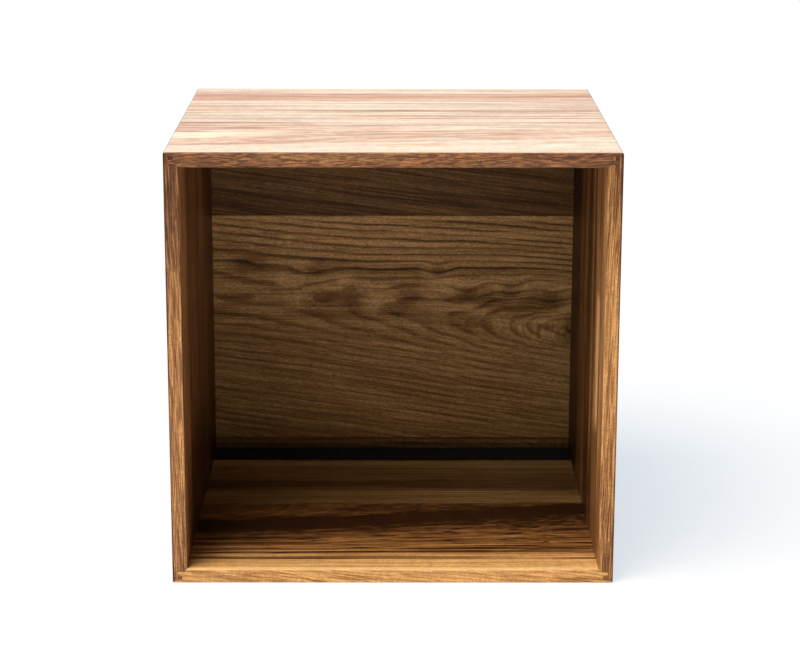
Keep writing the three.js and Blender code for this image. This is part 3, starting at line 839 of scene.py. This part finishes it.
spin = grow_node(tree, "ShaderNodeCombineXYZ", Y=random_turn(tree, given["Seed"])).outputs[0]
pins = grow_node(
    tree, "GeometryNodeInstanceOnPoints", Points=points, Instance=pin, Rotation=spin
).outputs[0]
finish_tree(tree, result, pins, given["Steel"])

pin_places = []
for node in PIN_NODES:
    low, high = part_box(node)
    pin_places.append(((low[0] + high[0]) / 2, high[1], (low[2] + high[2]) / 2))
places_mesh = bpy.data.meshes.new("pin_places")
places_mesh.from_pydata(pin_places, [], [])
back_pins = grown_piece("back_pins", add_object("pin_places", places_mesh), tree, keys)
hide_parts(*PIN_NODES)
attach(back_pins, "root")


# ------------------------------------------------------------------------------ felt strip
# A self-adhesive strip of black wool felt on the floor of the bay, from side to side just ahead of the
# back. It is pressed felt, 2 mm thick, cut with a knife and matted, with loose fibres on its upper face.
# Its colour is darker than black felt, and is partly painted shade at the foot of the back.

black_felt, felt_tree, felt = new_finish("black_pressed_felt")
felt_place = add_node(felt_tree, "ShaderNodeTexCoord").outputs["Object"]
matting = streaks(felt_tree, felt_place, (900.0, 900.0, 900.0), 3.0)
lint = spread(felt_tree, matting, 0.35, 0.65)
# felt colour and painted shade: nearly black, darker than felt itself, for the deep shade at the foot of the
# back
felt_and_shade_color = mix_colors(felt_tree, lint, (0.006, 0.0045, 0.0035, 1), (0.02, 0.015, 0.011, 1))
felt_tree.links.new(felt_and_shade_color, felt.inputs["Base Color"])
add_relief(felt_tree, felt, matting, 0.6, 0.3 * MM)
felt.inputs["Roughness"].default_value = 0.95
felt.inputs["Specular IOR Level"].default_value = 0.1
felt.inputs["Sheen Weight"].default_value = 0.05

strip_low, strip_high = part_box("rear_floor_strip")
nap = 0.35 * MM
side_gap = 0.1 * MM
body_low = (strip_low[0] + side_gap, strip_low[1] + side_gap, strip_low[2])
body_high = (strip_high[0] - side_gap, strip_high[1] - side_gap, strip_high[2] - nap)
shaped = bmesh.new()
bmesh.ops.create_cube(shaped, size=1.0)
for vertex in shaped.verts:
    for axis in range(3):
        vertex.co[axis] = (body_high if vertex.co[axis] > 0 else body_low)[axis]
edges = shaped.edges[:]
bmesh.ops.bevel(shaped, geom=edges, offset=0.4 * MM, segments=3, affect="EDGES", profile=0.6)
felt_mesh = bpy.data.meshes.new("felt_body")
shaped.to_mesh(felt_mesh)
shaped.free()
felt_seed = add_object("felt_body", felt_mesh)
bare_rim = 1.8 * MM

tree, given, result, keys = geometry_tree(
    "felt_nap_tree",
    {
        "Fibre Length": ("Float", 3.2 * MM),
        "Fibre Radius": ("Float", 0.035 * MM),
        "Density": ("Float", 190000.0),
        "Rise": ("Float", 0.22 * MM),
        "Half Length": ("Float", (strip_high[0] - strip_low[0]) / 2 - bare_rim),
        "Half Width": ("Float", (strip_high[1] - strip_low[1]) / 2 - bare_rim),
        "Middle": ("Float", (strip_high[1] + strip_low[1]) / 2),
        "Seed": ("Int", 12),
        "Felt": ("Material", black_felt),
    },
)
normal = grow_node(tree, "GeometryNodeInputNormal").outputs[0]
up_facing = grow_node(tree, "ShaderNodeSeparateXYZ", Vector=normal).outputs["Z"]
scatter = grow_node(
    tree,
    "GeometryNodeDistributePointsOnFaces",
    Mesh=given["Geometry"],
    Selection=calc(tree, "GREATER_THAN", up_facing, 0.9),
    Density=given["Density"],
    Seed=given["Seed"],
)
position = grow_node(tree, "GeometryNodeInputPosition").outputs[0]
spot = grow_node(tree, "ShaderNodeSeparateXYZ", Vector=position).outputs
past_end = calc(tree, "GREATER_THAN", calc(tree, "ABSOLUTE", spot["X"]), given["Half Length"])
from_middle = calc(tree, "ABSOLUTE", calc(tree, "SUBTRACT", spot["Y"], given["Middle"]))
past_side = calc(tree, "GREATER_THAN", from_middle, given["Half Width"])
kept = grow_node(
    tree,
    "GeometryNodeDeleteGeometry",
    {"domain": "POINT"},
    Geometry=scatter.outputs["Points"],
    Selection=calc(tree, "MAXIMUM", past_end, past_side),
).outputs[0]
half_fibre = calc(tree, "MULTIPLY", given["Fibre Length"], 0.5)
back_half = calc(tree, "MULTIPLY", half_fibre, -1.0)
bend = calc(tree, "MULTIPLY", half_fibre, 0.5)
fibre = grow_node(
    tree,
    "GeometryNodeCurveQuadraticBezier",
    Resolution=4,
    Start=grow_node(tree, "ShaderNodeCombineXYZ", X=back_half).outputs[0],
    Middle=grow_node(tree, "ShaderNodeCombineXYZ", Y=bend, Z=given["Rise"]).outputs[0],
    End=grow_node(tree, "ShaderNodeCombineXYZ", X=half_fibre).outputs[0],
).outputs[0]
strand = grow_node(
    tree, "GeometryNodeCurvePrimitiveCircle", Resolution=3, Radius=given["Fibre Radius"]
).outputs[0]
fibre = grow_node(
    tree, "GeometryNodeCurveToMesh", Curve=fibre, Profile_Curve=strand, Fill_Caps=True
).outputs[0]
turn = grow_node(tree, "ShaderNodeCombineXYZ", Z=random_turn(tree, given["Seed"])).outputs[0]
fibres = grow_node(
    tree, "GeometryNodeInstanceOnPoints", Points=kept, Instance=fibre, Rotation=turn
).outputs[0]
joined = tree.nodes.new("GeometryNodeJoinGeometry")
tree.links.new(given["Geometry"], joined.inputs[0])
tree.links.new(fibres, joined.inputs[0])
finish_tree(tree, result, joined.outputs[0], given["Felt"])
felt_strip = grown_piece("felt_strip", felt_seed, tree, keys)
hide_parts("rear_floor_strip")
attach(felt_strip, "root")


# ------------------------------------------------------------------------------ studio
# A plain pale floor and a soft light from above on the left, with a camera at the photograph's angle. The
# floor and the surround are bright to the camera and dimmer in reflections, so the wood keeps its depth.

floor_mesh = bpy.data.meshes.new("studio_floor")
floor_reach = 12.0
corners = [(x * floor_reach, y * floor_reach, 0) for x, y in ((-1, -1), (1, -1), (1, 1), (-1, 1))]
floor_mesh.from_pydata(corners, [], [(0, 1, 2, 3)])
studio_floor = add_object("studio_floor", floor_mesh)
floor_paint, paint_tree, paint = new_finish("pale_floor_paint")
paint.inputs["Roughness"].default_value = 0.8
paint.inputs["Specular IOR Level"].default_value = 0.0
paint.inputs["Emission Color"].default_value = (0.84, 0.925, 1.0, 1)
rays = add_node(paint_tree, "ShaderNodeLightPath").outputs
seen = calc(paint_tree, "MAXIMUM", rays["Is Camera Ray"], rays["Is Transmission Ray"])
glow = calc(paint_tree, "MULTIPLY", seen, 0.76)
glow = calc(paint_tree, "MULTIPLY_ADD", rays["Is Glossy Ray"], 0.1, glow)
seen = calc(paint_tree, "MAXIMUM", seen, rays["Is Glossy Ray"])
paint_tree.links.new(glow, paint.inputs["Emission Strength"])
floor_color = mix_colors(paint_tree, seen, (0.9, 0.9, 0.9, 1), (0.33, 0.285, 0.25, 1))
paint_tree.links.new(floor_color, paint.inputs["Base Color"])
floor_mesh.materials.append(floor_paint)

world = bpy.data.worlds.new("studio_surround")
bpy.context.scene.world = world
world.use_nodes = True
surround = world.node_tree
backdrop = surround.nodes["Background"]
rays = add_node(surround, "ShaderNodeLightPath").outputs
direction = add_node(surround, "ShaderNodeTexCoord").outputs["Generated"]
towards_rear = add_node(surround, "ShaderNodeSeparateXYZ", None, {0: direction}).outputs[1]
mirrored = spread(surround, towards_rear, -0.7, 0.3, 0.25, 1.0)
seen_level = calc(surround, "MAXIMUM", rays["Is Camera Ray"], rays["Is Transmission Ray"])
glossy_level = calc(surround, "MULTIPLY", rays["Is Glossy Ray"], mirrored)
not_diffuse = calc(surround, "MAXIMUM", seen_level, rays["Is Glossy Ray"])
lit_level = calc(surround, "MULTIPLY", calc(surround, "SUBTRACT", 1.0, not_diffuse), 0.2)
level = calc(surround, "ADD", calc(surround, "ADD", seen_level, glossy_level), lit_level)
surround.links.new(level, backdrop.inputs["Strength"])
backdrop.inputs["Color"].default_value = (1, 1, 1, 1)


def soft_lamp(name, strength, width, turn, color):
    lamp = bpy.data.lights.new(name, "SUN")
    lamp.energy = strength
    lamp.angle = radians(width)
    lamp.color = color
    add_object(name, lamp).rotation_euler = [radians(angle) for angle in turn]


soft_lamp("overhead_light", 3.4, 42, (20, -24, 0), (1.0, 0.985, 0.96))
soft_lamp("front_light", 0.2, 35, (66, 0, -26), (1.0, 0.99, 0.97))

camera_data = bpy.data.cameras.new("photo_camera")
camera_data.lens = 102.555
camera_data.sensor_width = 36
camera = add_object("photo_camera", camera_data)
camera.location = (-0.00325, -1.89903, 0.6611)
camera.rotation_euler = (radians(90 - 14.41887), radians(-0.12432), radians(-0.25218))
bpy.context.scene.camera = camera
bpy.context.scene.view_settings.view_transform = "Standard"
